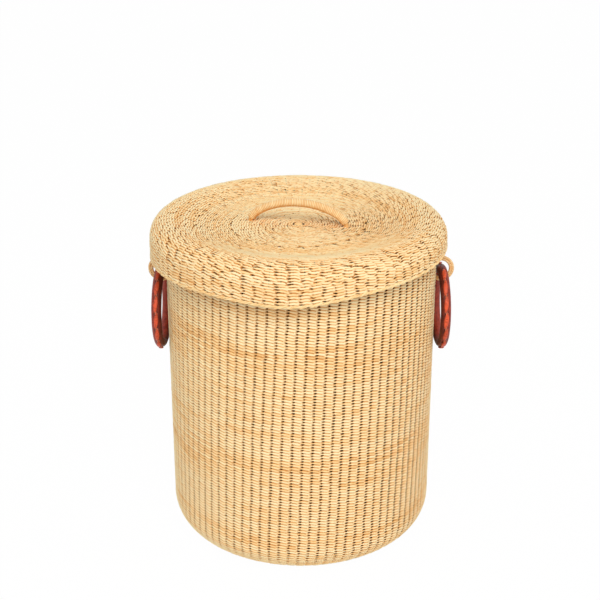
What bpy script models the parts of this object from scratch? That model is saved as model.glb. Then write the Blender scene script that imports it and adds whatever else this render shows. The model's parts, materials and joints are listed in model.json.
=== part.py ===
"""A lidded round laundry basket of twined grass, with a ring handle of laced leather on each side.

Sizes are in metres and Z is up. The basket stands on Z = 0, with its axis on the Z axis.
Its front looks towards -Y, and the two ring handles hang at +X and -X.
"""

from math import asin, atan2, ceil, cos, pi, radians, sin, sqrt

import bmesh
import bpy
import numpy as np
from mathutils import Matrix

# Clearances
TOUCH_GAP = 0.0003
LID_SEAT_GAP = 0.0005
FOOT_HOLE_GAP = 0.0006

# Each stake lifts the strands that pass over it, and between stakes they lie this share of the weave lower
RIB_SHARE = 0.30

# Basket: the thickness holds the upright stakes and the strands twined round them
WALL_RADIUS = 0.2010
WALL_TAPER = 0.0005
BASE_CORNER_RADIUS = 0.0476
BASKET_WEAVE = 0.0070
BASKET_HEIGHT = 0.4870
RIM_ROLL = 0.0025
WALL_STAKES = 88

# Lid: it sits loose on the rim, pushed a little to the left. Its top is dished inside the rounded edge
LID_WEAVE = 0.0070
LID_NEAR_GAP = 0.0050
LID_SHIFT = 0.0040
LID_EDGE_RADIUS = 0.0290
SKIRT_DROP = 0.0176
SKIRT_RISE = 0.0080
SKIRT_ROLL = 0.0005
LID_STAKES = 44
LID_RIB_START = 0.0850
LID_DISH = 0.0142
LID_DISH_RADIUS = 0.1300

# Lid handle: a low arch over the middle of the lid, turned a little off the basket's sides
HANDLE_SPAN = 0.1430
HANDLE_RISE = 0.0298
HANDLE_ROUNDNESS = 0.65
HANDLE_CORE_RADIUS = 0.0034
HANDLE_TURN = radians(-11.2)
HANDLE_OFFSET = (-0.0004, 0.0015)
HANDLE_WRAP_WIDTH = 0.0048
HANDLE_WRAP_GAP = 0.0011
HANDLE_WRAP_THICKNESS = 0.0020
KNOT_BULGE = 0.0043
KNOT_HEIGHT = 0.0070
KNOT_TAIL = 0.0020

# Side loops: wrapped grass rings threaded through the wall just under the lid's skirt
LOOP_CORE_RADIUS = 0.0020
LOOP_PLAY = 0.0003
LOOP_DROP = 0.0036
LOOP_WRAP_WIDTH = 0.0028
LOOP_WRAP_GAP = 0.0008
LOOP_WRAP_THICKNESS = 0.0014
LOOP_WRAP_SPAN = radians(206)

# Ring handles: a grass ring in a leather sleeve, whose seam round the outside is closed by a thong.
# The thong lies in long flat stitches, each drawn in at its ends.
RING_RADIUS = 0.0560
RING_CORE_RADIUS = 0.0058
RING_STAND_OFF = 0.0012
RING_YAW = radians(2.5)
LEATHER = 0.0012
SEAM_OPENING = radians(24)
STITCH_LENGTH = 0.0172
STITCH_WIDTH = 0.0060
STITCH_NECK = 0.0026
STITCH_THICKNESS = 0.0013
STITCH_SPAN = radians(340)

# Faceting
ROUND_STEPS = 56
RING_STEPS = 32
LOOP_STEPS = 20
ARCH_STEPS = 20
TUBE_SIDES = 8
CORNER_STEPS = 4
BEAD_STEPS = 6
SLEEVE_STEPS = 10
STITCH_POINTS = 4
THONG_SIDES = 3
TURN_POINTS = 8
BAND_SIDES = 6
FINE_POINTS = 600

# How near two points may lie before the turning of a profile merges them
MERGE = 0.00001
# How large an empty is drawn in the viewport
EMPTY_SIZE = 0.03

# The basket and the lid: radii and heights that follow from the sizes above
rib_depth = RIB_SHARE * BASKET_WEAVE
lid_rib_depth = RIB_SHARE * LID_WEAVE
wall_inner_radius = WALL_RADIUS - BASKET_WEAVE
corner_start_radius = WALL_RADIUS - WALL_TAPER - BASE_CORNER_RADIUS
rim_bead_radius = BASKET_WEAVE / 2 + RIM_ROLL
rim_radius = WALL_RADIUS - BASKET_WEAVE / 2
rim_z = BASKET_HEIGHT - rim_bead_radius
rim_seat_drop = sqrt(rim_bead_radius**2 - (BASKET_WEAVE / 2) ** 2)
wall_top_z = rim_z - rim_seat_drop - TOUCH_GAP
lid_play = LID_SEAT_GAP + LID_NEAR_GAP + LID_SHIFT
lid_radius = rim_radius + rim_bead_radius + lid_play + LID_WEAVE
lid_corner_radius = lid_radius - LID_EDGE_RADIUS
seat_reach = LID_EDGE_RADIUS - LID_WEAVE - rim_bead_radius - LID_SEAT_GAP
seat_side = max(rim_radius + LID_SHIFT - lid_corner_radius, 0)
lid_corner_z = rim_z - sqrt(seat_reach**2 - seat_side**2)
lid_top_z = lid_corner_z + LID_EDGE_RADIUS
skirt_z = lid_corner_z - SKIRT_DROP - SKIRT_RISE
skirt_tilt = atan2(SKIRT_RISE, lid_radius)
skirt_bead_radius = LID_WEAVE / 2 + SKIRT_ROLL
skirt_seat_rise = sqrt(skirt_bead_radius**2 - (LID_WEAVE / 2) ** 2)
bead_z = skirt_z + skirt_bead_radius


def tube_over(core_radius, thickness):
    """Radius over a band of this thickness that is wound on a core, whose facets come nearer to it."""
    return (core_radius + TOUCH_GAP + thickness / 2) / cos(pi / TURN_POINTS) + thickness / 2


# The wound pieces, from the core outwards, and where each ring handle hangs in its loop
handle_radius = tube_over(HANDLE_CORE_RADIUS, HANDLE_WRAP_THICKNESS)
loop_tube_radius = tube_over(LOOP_CORE_RADIUS, LOOP_WRAP_THICKNESS)
sleeve_facet = (2 * pi - SEAM_OPENING) / SLEEVE_STEPS
sleeve_inside = (RING_CORE_RADIUS + TOUCH_GAP) / cos(sleeve_facet / 2)
sleeve_radius = sleeve_inside + LEATHER
loop_room = BASKET_WEAVE + RING_STAND_OFF + LOOP_PLAY
loop_radius = loop_room / 2 + sleeve_radius + loop_tube_radius + TOUCH_GAP
loop_x = wall_inner_radius - TOUCH_GAP - LOOP_CORE_RADIUS + loop_radius
loop_z = skirt_z - SKIRT_RISE - LOOP_DROP - loop_tube_radius - loop_radius
ring_x = WALL_RADIUS + RING_STAND_OFF + sleeve_radius
ring_hang_z = loop_z - sqrt((loop_room / 2) ** 2 - (ring_x - loop_x) ** 2)


def clear_scene():
    for obj in list(bpy.data.objects):
        bpy.data.objects.remove(obj, do_unlink=True)


def collection(name):
    made = bpy.data.collections.new(name)
    bpy.context.scene.collection.children.link(made)
    return made


def material(name, colour, roughness):
    made = bpy.data.materials.new(name)
    made.use_nodes = True
    shader = made.node_tree.nodes["Principled BSDF"]
    shader.inputs["Base Color"].default_value = (*colour, 1)
    shader.inputs["Roughness"].default_value = roughness
    shader.inputs["Metallic"].default_value = 0
    return made


def place(obj, name, finish, parent, location=(0, 0, 0), rotation=(0, 0, 0)):
    """Names a new object, gives it its finish and puts it in its parent's frame."""
    obj.name = name
    obj.data.name = name
    obj.data.materials.clear()
    obj.data.materials.append(finish)
    for holder in list(obj.users_collection):
        holder.objects.unlink(obj)
    parts.objects.link(obj)
    obj.parent = parent
    obj.location = location
    obj.rotation_euler = rotation
    return obj


def frame(name, location, turn=0.0):
    """An empty on a joint's axis, which carries the pieces that move with it."""
    empty = bpy.data.objects.new(name, None)
    empty.location = location
    empty.rotation_euler = (0, 0, turn)
    empty.empty_display_size = EMPTY_SIZE
    parts.objects.link(empty)
    return empty


def arc(centre, radius, start, stop, steps):
    """Points of an arc in a profile's plane, from one angle to another, both in radians."""
    angles = [start + (stop - start) * i / steps for i in range(steps + 1)]
    return [(centre[0] + radius * cos(a), centre[1] + radius * sin(a)) for a in angles]


def turned(name, profile, finish, parent, closed=True, steps=ROUND_STEPS, **placing):
    """A profile of (radius, height) points turned about Z. It runs down its outer side."""
    shape = bmesh.new()
    points = [shape.verts.new((radius, 0, height)) for radius, height in profile]
    for first, second in zip(points, points[1:]):
        shape.edges.new((first, second))
    if closed:
        shape.edges.new((points[-1], points[0]))
    mesh = bpy.data.meshes.new(name)
    shape.to_mesh(mesh)
    shape.free()
    obj = place(bpy.data.objects.new(name, mesh), name, finish, parent, **placing)
    screw = obj.modifiers.new("Turn", "SCREW")
    screw.steps = screw.render_steps = steps
    screw.use_merge_vertices = True
    screw.merge_threshold = MERGE
    screw.use_smooth_shade = True
    return obj


def ribbed(name, rows, finish, parent, closed, **placing):
    """A shell of rings of points round Z, given from its outer side to its inner side.

    A row is its number of steps, the angle it starts at and the (radius, height) points that its steps
    take in turn: valley and crest on the ribbed outer side, and one point on the plain inner side. Two
    rows with unequal steps are joined by triangles. An open shell has a flat face on each end row.
    """
    shape = bmesh.new()
    rings = []
    for steps, start, points in rows:
        ring = []
        for i in range(steps):
            angle = start + 2 * pi * i / steps
            radius, height = points[i % len(points)]
            ring.append(shape.verts.new((radius * cos(angle), radius * sin(angle), height)))
        rings.append(ring)
    for ring, following in zip(rings, rings[1:]):
        join_rings(shape, ring, following)
    if closed:
        join_rings(shape, rings[-1], rings[0])
    else:
        shape.faces.new(rings[0])
        shape.faces.new(rings[-1])
    bmesh.ops.recalc_face_normals(shape, faces=shape.faces)
    mesh = bpy.data.meshes.new(name)
    shape.to_mesh(mesh)
    shape.free()
    mesh.shade_smooth()
    return place(bpy.data.objects.new(name, mesh), name, finish, parent, **placing)


def join_rings(shape, ring, following):
    """Faces between two rings of points: quads, or triangles where the rings have unequal steps."""
    count, other = len(ring), len(following)
    if count == other:
        for i in range(count):
            j = (i + 1) % count
            shape.faces.new((ring[i], ring[j], following[j], following[i]))
        return
    i = j = 0
    while i < count or j < other:
        if j == other or (i < count and (i + 1) * other <= (j + 1) * count):
            shape.faces.new((ring[i % count], ring[(i + 1) % count], following[j % other]))
            i += 1
        else:
            shape.faces.new((ring[i % count], following[(j + 1) % other], following[j % other]))
            j += 1


def torus(name, radius, tube_radius, steps, finish, parent, **placing):
    bpy.ops.mesh.primitive_torus_add(
        major_radius=radius,
        minor_radius=tube_radius,
        major_segments=steps,
        minor_segments=TUBE_SIDES,
    )
    obj = place(bpy.context.object, name, finish, parent, **placing)
    obj.data.shade_smooth()
    return obj


def cut(obj, cutter):
    """Takes the cutter's shape out of a piece. The cutter itself is left out of the object."""
    parts.objects.unlink(cutter)
    cutters.objects.link(cutter)
    cutter.hide_render = True
    cutter.display_type = "WIRE"
    boolean = obj.modifiers.new("Cut by " + cutter.name, "BOOLEAN")
    boolean.operation = "DIFFERENCE"
    boolean.object = cutter


def evenly(points, count):
    """The same line with this many points, an equal length apart."""
    lengths = np.r_[0, np.cumsum(np.linalg.norm(np.diff(points, axis=0), axis=1))]
    wanted = np.linspace(0, lengths[-1], count)
    return np.stack([np.interp(wanted, lengths, points[:, k]) for k in range(3)], axis=1)


def length(points):
    return np.linalg.norm(np.diff(points, axis=0), axis=1).sum()


def unit(vectors):
    return vectors / np.linalg.norm(vectors, axis=-1, keepdims=True)


def outward_of(line, axle):
    """At each point of a plane curve, the direction across it in its plane, away from the curve's inside."""
    return np.cross(unit(np.gradient(line, axis=0)), axle)


def winding(name, core_line, axle, tube_radius, width, gap, thickness, finish, parent, **placing):
    """A flat band wound round a core in one unbroken run, with its flat side always on the core.

    core_line is the core's centre line, a plane curve whose plane has the normal axle, and tube_radius
    is the radius over the band. As many turns fit as leave the gap between them on the curve's inner
    side. The band is a loft of ellipses, TURN_POINTS of them a turn. Each end runs on straight for one
    thickness. The least gap between turns is measured on points and printed.
    """
    inner_line = core_line - tube_radius * outward_of(core_line, axle)
    turns = int(min(length(core_line), length(inner_line)) / (width + gap))
    line = evenly(core_line, turns * TURN_POINTS + 1)
    outward = outward_of(line, axle)
    angle = 2 * pi * np.arange(len(line))[:, None] / TURN_POINTS
    away = np.cos(angle) * outward + np.sin(angle) * np.array(axle)
    path = line + (tube_radius - thickness / 2) * away
    ends = unit(path[[0, -1]] - path[[1, -2]]) * thickness
    path = np.concatenate([path[:1] + ends[:1], path, path[-1:] + ends[1:]])
    away = np.concatenate([away[:1], away, away[-1:]])
    across = unit(np.cross(unit(np.gradient(path, axis=0)), away))
    side = 2 * pi * np.arange(BAND_SIDES) / BAND_SIDES
    rings = (
        path[:, None]
        + np.cos(side)[None, :, None] * away[:, None] * thickness / 2
        + np.sin(side)[None, :, None] * across[:, None] * width / 2
    )
    print(f"{name}: {turns} turns, least gap between turns {1000 * least_gap(rings):.2f} mm")
    return lofted(name, rings, finish, parent, **placing)


def lofted(name, rings, finish, parent, **placing):
    """A solid through sections with an equal number of points, closed by a face at each end."""
    shape = bmesh.new()
    rows = [[shape.verts.new(point) for point in ring] for ring in rings.tolist()]
    for row, following in zip(rows, rows[1:]):
        for i in range(len(row)):
            j = (i + 1) % len(row)
            shape.faces.new((row[i], row[j], following[j], following[i]))
    shape.faces.new(rows[0])
    shape.faces.new(rows[-1])
    bmesh.ops.recalc_face_normals(shape, faces=shape.faces)
    mesh = bpy.data.meshes.new(name)
    shape.to_mesh(mesh)
    shape.free()
    mesh.shade_smooth()
    return place(bpy.data.objects.new(name, mesh), name, finish, parent, **placing)


def least_gap(rings):
    """The least distance between points of a band that lie over three quarters of a turn apart along it."""
    apart = ceil(3 * TURN_POINTS / 4)
    nearest = np.inf
    for i in range(len(rings)):
        rest = rings[i + apart :].reshape(-1, 3)
        if len(rest):
            nearest = min(nearest, np.linalg.norm(rings[i][:, None] - rest[None], axis=2).min())
    return nearest


def arc_line(radius, middle, span):
    """A fine line along an arc round Z, with this span centred on the angle middle."""
    angles = middle + np.linspace(-span / 2, span / 2, FINE_POINTS)
    return np.stack([radius * np.cos(angles), radius * np.sin(angles), 0 * angles], axis=1)


def handle_line():
    """The lid handle's centre line from foot to foot, steep at the feet and flat on top."""
    angles = np.linspace(0, pi, FINE_POINTS)
    height = HANDLE_RISE * np.sin(angles) ** (2 * HANDLE_ROUNDNESS)
    return np.stack([-HANDLE_SPAN / 2 * np.cos(angles), 0 * angles, height], axis=1)


# Basket


def base_weave():
    """The flat disc that the basket stands on."""
    edge = corner_start_radius - TOUCH_GAP
    profile = [(0, BASKET_WEAVE), (edge, BASKET_WEAVE), (edge, 0), (0, 0)]
    return turned("base_weave", profile, straw, None, closed=False)


def wall_weave():
    """The wall, which turns up from the base in a round corner and runs almost straight to the rim.

    Its ribs stand over the stakes and fade out round the corner, where the basket stands.
    """
    corner = (corner_start_radius, BASE_CORNER_RADIUS)
    crest = arc(corner, BASE_CORNER_RADIUS, 0, -pi / 2, CORNER_STEPS)
    deep = arc(corner, BASE_CORNER_RADIUS - rib_depth, 0, -pi / 2, CORNER_STEPS)
    fade = [cos(pi / 2 * i / CORNER_STEPS) for i in range(CORNER_STEPS + 1)]
    valley = [between(high, low, share) for high, low, share in zip(crest, deep, fade)]
    inner = arc(corner, BASE_CORNER_RADIUS - BASKET_WEAVE, -pi / 2, 0, CORNER_STEPS)
    steps = 2 * WALL_STAKES
    rows = [(steps, 0, [(WALL_RADIUS - rib_depth, wall_top_z), (WALL_RADIUS, wall_top_z)])]
    rows += [(steps, 0, [low, high]) for low, high in zip(valley, crest)]
    rows += [(ROUND_STEPS, 0, [point]) for point in inner + [(wall_inner_radius, wall_top_z)]]
    return ribbed("wall_weave", rows, straw, None, closed=True)


def between(first, second, share):
    """The point this share of the way from one point of a profile to another."""
    return tuple(a + (b - a) * share for a, b in zip(first, second))


def bead(radius, weave, seat_above):
    """A round bead with one flat, where it sits on the edge of a sheet that is weave thick."""
    open_half = asin(weave / 2 / radius)
    middle = pi / 2 if seat_above else -pi / 2
    return arc((0, 0), radius, middle - open_half, middle - 2 * pi + open_half, BEAD_STEPS)


def rim_border():
    """The rolled border that the stakes' ends are worked into, which the lid rests on."""
    profile = [
        (rim_radius + across, rim_z + up)
        for across, up in bead(rim_bead_radius, BASKET_WEAVE, seat_above=False)
    ]
    return turned("rim_border", profile, straw, None)


# Lid


def lid_top_weave(lid):
    """The top, flat in its middle and rising to the rounded edge, down to where the skirt hangs straight.

    Its ribs start outside the handle's feet and deepen towards the edge.
    """
    corner = (lid_corner_radius, -LID_EDGE_RADIUS)
    crest = arc(corner, LID_EDGE_RADIUS, pi / 2, 0, CORNER_STEPS)
    valley = arc(corner, LID_EDGE_RADIUS - lid_rib_depth, pi / 2, 0, CORNER_STEPS)
    inner = arc(corner, LID_EDGE_RADIUS - LID_WEAVE, 0, pi / 2, CORNER_STEPS)
    steps = 2 * LID_STAKES
    start = -pi / steps
    ribbed_share = (LID_DISH_RADIUS - LID_RIB_START) / (lid_corner_radius - LID_RIB_START)
    foot = (LID_DISH_RADIUS, -LID_DISH)
    foot_valley = (LID_DISH_RADIUS, -LID_DISH - ribbed_share * lid_rib_depth)
    rows = [(steps, start, [(LID_RIB_START, -LID_DISH)]), (steps, start, [foot_valley, foot])]
    rows += [(steps, start, [low, high]) for low, high in zip(valley, crest)]
    rows += [(ROUND_STEPS, 0, [point]) for point in inner + [(LID_DISH_RADIUS, -LID_DISH - LID_WEAVE)]]
    return ribbed("lid_top_weave", rows, straw, lid, closed=False)


def lid_skirt_weave(lid):
    """The straight skirt, whose lower edge climbs from left to right as the hand-woven one does."""
    inner_radius = lid_radius - LID_WEAVE
    top = -LID_EDGE_RADIUS - TOUCH_GAP
    over_long = skirt_z - lid_top_z - 2 * SKIRT_RISE
    profile = [(lid_radius, top), (lid_radius, over_long), (inner_radius, over_long), (inner_radius, top)]
    skirt = turned("lid_skirt_weave", profile, straw, lid)
    edge = bead_z - lid_top_z + skirt_seat_rise + TOUCH_GAP
    block = 3 * lid_radius
    bpy.ops.mesh.primitive_cube_add(size=1)
    cutter = bpy.context.object
    cutter.data.transform(Matrix.Diagonal((block, block, block, 1)))
    cutter.data.transform(Matrix.Translation((0, 0, -block / 2)))
    place(cutter, "skirt_edge_cutter", straw, lid, location=(0, 0, edge), rotation=(0, -skirt_tilt, 0))
    cut(skirt, cutter)
    return skirt


def lid_border(lid):
    """The slim rolled border along the skirt's lower edge, tilted with it."""
    radius = lid_radius - LID_WEAVE / 2
    profile = [
        (radius + across, up)
        for across, up in bead(skirt_bead_radius, LID_WEAVE, seat_above=True)
    ]
    placing = {"location": (0, 0, bead_z - lid_top_z), "rotation": (0, -skirt_tilt, 0)}
    return turned("lid_border", profile, straw, lid, **placing)


def lid_handle(lid, lid_top):
    """The arched handle: a grass core through two holes in the lid, its wrapping, and a knot on each end."""
    carrier = frame("lid_handle_frame", (*HANDLE_OFFSET, -LID_DISH), HANDLE_TURN)
    carrier.parent = lid
    arch = handle_line()
    leg = LID_WEAVE + TOUCH_GAP + KNOT_HEIGHT + KNOT_TAIL
    feet = [np.array([[sign * HANDLE_SPAN / 2, 0, -leg]]) for sign in (-1, 1)]
    line = np.concatenate([feet[0], evenly(arch, ARCH_STEPS), feet[1]])
    curve = bpy.data.curves.new("lid_handle_core", "CURVE")
    curve.dimensions = "3D"
    curve.bevel_depth = HANDLE_CORE_RADIUS
    curve.bevel_resolution = 2
    curve.use_fill_caps = True
    spline = curve.splines.new("POLY")
    spline.points.add(len(line) - 1)
    for point, where in zip(spline.points, line.tolist()):
        point.co = (*where, 1)
    core = bpy.data.objects.new("lid_handle_core", curve)
    place(core, "lid_handle_core", golden_straw, carrier)
    first, last = foot_margin(arch)
    winding(
        "lid_handle_wrap",
        arch[first:last],
        (0, -1, 0),
        handle_radius,
        HANDLE_WRAP_WIDTH,
        HANDLE_WRAP_GAP,
        HANDLE_WRAP_THICKNESS,
        golden_straw,
        carrier,
    )
    for side, sign in (("left", -1), ("right", 1)):
        foot_x = sign * HANDLE_SPAN / 2
        bore = HANDLE_CORE_RADIUS + TOUCH_GAP
        bulge = arc((0, 0), 1, pi / 2, -pi / 2, CORNER_STEPS)
        profile = [(bore + across * KNOT_BULGE, up * KNOT_HEIGHT / 2) for across, up in bulge]
        turned(
            "lid_handle_knot_" + side,
            profile,
            straw,
            carrier,
            steps=2 * TUBE_SIDES,
            location=(foot_x, 0, -LID_WEAVE - TOUCH_GAP - KNOT_HEIGHT / 2),
        )
        bpy.ops.mesh.primitive_cylinder_add(
            vertices=2 * TUBE_SIDES,
            radius=HANDLE_CORE_RADIUS + FOOT_HOLE_GAP,
            depth=4 * LID_WEAVE,
        )
        hole = place(bpy.context.object, "handle_hole_" + side, straw, carrier, location=(foot_x, 0, 0))
        cut(lid_top, hole)


def foot_margin(arch):
    """The stretch of the arch that the wrapping covers, as first and last point: it stays clear of the lid."""
    rise = np.abs(unit(np.gradient(arch, axis=0))[:, 2])
    underside = arch[:, 2] - handle_radius * np.sqrt(1 - rise**2) - (HANDLE_WRAP_WIDTH / 2) * rise
    covered = np.flatnonzero(underside > HANDLE_WRAP_THICKNESS / 2)
    return covered[0], covered[-1] + 1


# Side loops and ring handles


def side_loop(side, sign, wall):
    """A grass ring threaded through two holes in the wall, wrapped where it stands outside."""
    upright = (pi / 2, 0, 0)
    placing = {"location": (sign * loop_x, 0, loop_z), "rotation": upright}
    torus("loop_core_" + side, loop_radius, LOOP_CORE_RADIUS, LOOP_STEPS, straw, None, **placing)
    outward = 0 if sign > 0 else pi
    winding(
        "loop_wrap_" + side,
        arc_line(loop_radius, outward, LOOP_WRAP_SPAN),
        (0, 0, 1),
        loop_tube_radius,
        LOOP_WRAP_WIDTH,
        LOOP_WRAP_GAP,
        LOOP_WRAP_THICKNESS,
        straw,
        None,
        **placing,
    )
    bore = LOOP_CORE_RADIUS + TOUCH_GAP
    hole = torus("loop_hole_" + side, loop_radius, bore, LOOP_STEPS, straw, None, **placing)
    cut(wall, hole)


def ring_handle(side, sign):
    """A leather-covered ring that hangs from its side loop and swings outwards about it."""
    swing = frame("ring_swing_" + side, (sign * ring_x, 0, ring_hang_z), sign * RING_YAW)
    placing = {"location": (0, 0, -RING_RADIUS), "rotation": (0, pi / 2, 0)}
    torus("ring_core_" + side, RING_RADIUS, RING_CORE_RADIUS, RING_STEPS, straw, swing, **placing)
    seam = SEAM_OPENING / 2
    section = arc((RING_RADIUS, 0), sleeve_radius, -seam, -2 * pi + seam, SLEEVE_STEPS)
    section += arc((RING_RADIUS, 0), sleeve_inside, -2 * pi + seam, -seam, SLEEVE_STEPS)
    turned("ring_leather_" + side, section, red_leather, swing, steps=RING_STEPS, **placing)
    lofted("ring_lacing_" + side, thong_sections(), red_leather, swing, **placing)


def thong_sections():
    """Sections of the thong that closes the sleeve's seam, which runs round the ring's outside.

    Each section is curved to the sleeve, thickest in its middle. Along the ring the width and the
    thickness swell and shrink once a stitch. The stitches leave out a stretch at the ring's top, where
    the loop holds it.
    """
    outside = RING_RADIUS + sleeve_radius
    stitches = int(STITCH_SPAN * outside / STITCH_LENGTH)
    along = np.arange(stitches * STITCH_POINTS + 1) / STITCH_POINTS
    swell = np.sin(pi * along) ** 2
    width = (STITCH_NECK + (STITCH_WIDTH - STITCH_NECK) * swell)[:, None]
    thickness = (STITCH_THICKNESS * (1 + swell) / 2)[:, None]
    across = np.linspace(-1, 1, THONG_SIDES + 1)[None]
    bottom = sleeve_radius + TOUCH_GAP + 0 * width * across
    top = bottom + thickness * (1 + np.cos(pi / 2 * across)) / 2
    reach = np.concatenate([bottom, top[:, ::-1]], axis=1)
    turn = np.concatenate([across, across[:, ::-1]], axis=1) * width / 2 / bottom[:, :1]
    angle = ((along / stitches - 1 / 2) * STITCH_SPAN)[:, None]
    radius = RING_RADIUS + reach * np.cos(turn)
    return np.stack([radius * np.cos(angle), radius * np.sin(angle), reach * np.sin(turn)], axis=2)


def build():
    base_weave()
    wall = wall_weave()
    rim_border()
    lid = frame("lid_lift", (-LID_SHIFT, 0, lid_top_z))
    lid_top = lid_top_weave(lid)
    lid_skirt_weave(lid)
    lid_border(lid)
    lid_handle(lid, lid_top)
    for side, sign in (("left", -1), ("right", 1)):
        side_loop(side, sign, wall)
        ring_handle(side, sign)


clear_scene()
parts = collection("laundry_basket")
cutters = collection("cutters")
straw = material("pale_straw", (0.76, 0.58, 0.33), 0.6)
golden_straw = material("golden_straw", (0.80, 0.52, 0.24), 0.5)
red_leather = material("red_leather", (0.42, 0.06, 0.03), 0.4)
build()
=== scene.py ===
"""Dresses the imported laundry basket: twined straw, wound handles and leather rings, in a plain studio.

The file is laid out as an add-on. Run as a script it loads the frame, makes every piece and the stage, and
finishes.
"""

import json
from collections import namedtuple

import bpy
import numpy as np
from bpy.props import FloatProperty
from bpy.props import FloatVectorProperty
from bpy.props import IntProperty
from bpy.props import PointerProperty
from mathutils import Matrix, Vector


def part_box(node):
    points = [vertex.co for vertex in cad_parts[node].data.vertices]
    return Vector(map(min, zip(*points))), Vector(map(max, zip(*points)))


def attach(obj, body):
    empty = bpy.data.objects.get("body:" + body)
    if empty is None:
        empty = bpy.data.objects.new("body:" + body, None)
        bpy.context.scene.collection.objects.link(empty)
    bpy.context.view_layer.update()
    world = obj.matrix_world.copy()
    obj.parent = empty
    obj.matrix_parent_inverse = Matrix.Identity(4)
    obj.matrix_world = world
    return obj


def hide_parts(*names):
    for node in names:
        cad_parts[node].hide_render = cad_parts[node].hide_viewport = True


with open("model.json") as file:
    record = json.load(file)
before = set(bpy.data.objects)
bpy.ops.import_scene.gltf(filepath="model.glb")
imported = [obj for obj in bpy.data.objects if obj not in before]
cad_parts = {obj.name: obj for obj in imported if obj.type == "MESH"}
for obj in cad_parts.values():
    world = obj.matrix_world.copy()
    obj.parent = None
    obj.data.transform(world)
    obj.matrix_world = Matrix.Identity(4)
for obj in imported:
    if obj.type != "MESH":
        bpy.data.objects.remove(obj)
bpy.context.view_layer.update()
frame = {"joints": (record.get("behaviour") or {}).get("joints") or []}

bl_info = {
    "name": "Twined laundry basket",
    "version": (1, 0, 0),
    "blender": (4, 5, 0),
    "location": "3D View > Sidebar > Basket",
    "description": "Weaves, winds and stitches the pieces of a lidded straw laundry basket",
    "category": "Object",
}

# Sizes that follow the solid parts, in metres

pi = np.pi
MM = 0.001
SEED = 11

WEAVE = 7 * MM
BASE_CORNER = 47.6 * MM
WALL_TAPER = 0.5 * MM
LID_EDGE = 29 * MM
LID_DISH = 14.2 * MM
DISH_START = 125 * MM
FIRST_ROW = 9 * MM
BUTTON = 6.5 * MM

wall_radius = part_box("wall_weave")[1].x
wall_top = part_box("wall_weave")[1].z
wall_flat = wall_radius - WALL_TAPER - BASE_CORNER

lid_low, lid_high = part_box("lid_top_weave")
lid_x = (lid_low.x + lid_high.x) / 2
lid_radius = (lid_high.x - lid_low.x) / 2
lid_top = lid_high.z
lid_flat = lid_radius - LID_EDGE

rim_low, rim_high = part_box("rim_border")
rim_bead = (rim_high.z - rim_low.z) / 2
rim_bead_z = (rim_high.z + rim_low.z) / 2
rim_ring = rim_high.x - rim_bead

LID_BEAD = 4 * MM
LID_ROPE = 2.8 * MM
SKIRT_RISE = 8 * MM
lid_bead_z = (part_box("lid_border")[0].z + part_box("lid_border")[1].z) / 2
lid_bead_ring = lid_radius - WEAVE / 2
skirt_slope = SKIRT_RISE / (lid_radius - WEAVE / 2)

HANDLE_SPAN = 143 * MM
HANDLE_RISE = 29.8 * MM
HANDLE_ROUNDNESS = 1.3
HANDLE_TURN = np.radians(-11.2)
HANDLE_PLACE = np.array([-0.4 * MM, 1.5 * MM, -LID_DISH])
HANDLE_CORE = 3.4 * MM
HANDLE_THICK = 6.1 * MM
KNOT_HEIGHT = 7 * MM
KNOT_RADIUS = 8 * MM
KNOT_TAIL = 2 * MM

# Where the lid's rows stray from level circles: at its small eyes, and towards the skirt's edge

EYES = 24
EYE_RING = 100 * MM
EYE_REACH = 9 * MM
EYE_WIDTH = 0.30
LID_DRIFT_START = 131 * MM
SCALLOPS = 80
SCALLOP_DEPTH = 0.9 * MM
DROOP_DEPTH = 9.5 * MM
DROOP_WIDTH = 0.061
DROOP_TURN = 0.05
DROOP_MEAN = 2.4 * MM

# The side loops and the ring handles

LOOP_RADIUS = 16.069 * MM
LOOP_THICK = 3.9 * MM
LOOP_OUT = 207.769 * MM
LOOP_HEIGHT = 412.382 * MM

RING_RADIUS = 56 * MM
RING_CORE = 5.8 * MM
SLEEVE = 7.5 * MM
RING_YAW = np.radians(2.5)
SEAM_START = np.radians(10)
SIDES = {"left": -1, "right": 1}
hang = {joint["child"]: np.array(joint["pos_m"]) for joint in frame["joints"] if "pos_m" in joint}

# How a strand runs: where it has its cross sections in each stitch, counted in stakes, and where it
# changes, counted in stakes before the stitch's end

PASSES = np.array([-0.50, -0.30, -0.08, 0.08, 0.20, 0.45, 0.70, 0.87, 0.98, 1.10])
STITCH_SHIFT = -0.12
DIVE = (-0.10, 0.36)
RETURN = (1.05, 1.55)
HIDDEN = (1.2, 1.5)
FALL = 1.05
THIN_END = np.array([0.02, 0.25])
THIN_START = np.array([0.75, 0.93])

# The section of a strand, first over a stake and then behind the stakes: for each of its five sides how
# far out it lies in half thicknesses, how far aside in half widths, how deep a painted shade it takes
# (amber at its edges, the gap colour at its back) and how much paler it is painted: a painted highlight
# on the crest and painted shade on the edges, most on the lower one

SECTION_OUT = np.array([[1.0, 0.25, -0.6, -0.6, 0.25], [0.6, 0.2, -0.8, -0.8, 0.2]])
SECTION_SIDE = np.array([[0.0, 1.0, 1.3, -1.3, -1.0], [0.0, 1.0, 0.45, -0.45, -1.0]])
SECTION_PAINTED_SHADE = np.array([[0.0, 0.46, 1.0, 1.0, 0.60], [1.0, 0.6, 0.1, 0.1, 0.6]])
SECTION_PAINTED_LIGHT = np.array([[0.30, -0.15, 0.0, 0.0, -0.35], [0.0, -0.2, 0.2, 0.2, -0.2]])

# Where each ring of stakes starts, in millimetres, and how many it has where the last has 88

ZONES = [(9, 10), (19, 14), (30, 22), (45, 32), (70, 48), (100, 72), (150, 88)]

# How finely the surfaces are laid out

STAKE_SIDES = 6
STAKE_STEPS = 44
BAND_ROWS = 20
TONE_BANDS = 130
TONE_REACH = 0.7


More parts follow.
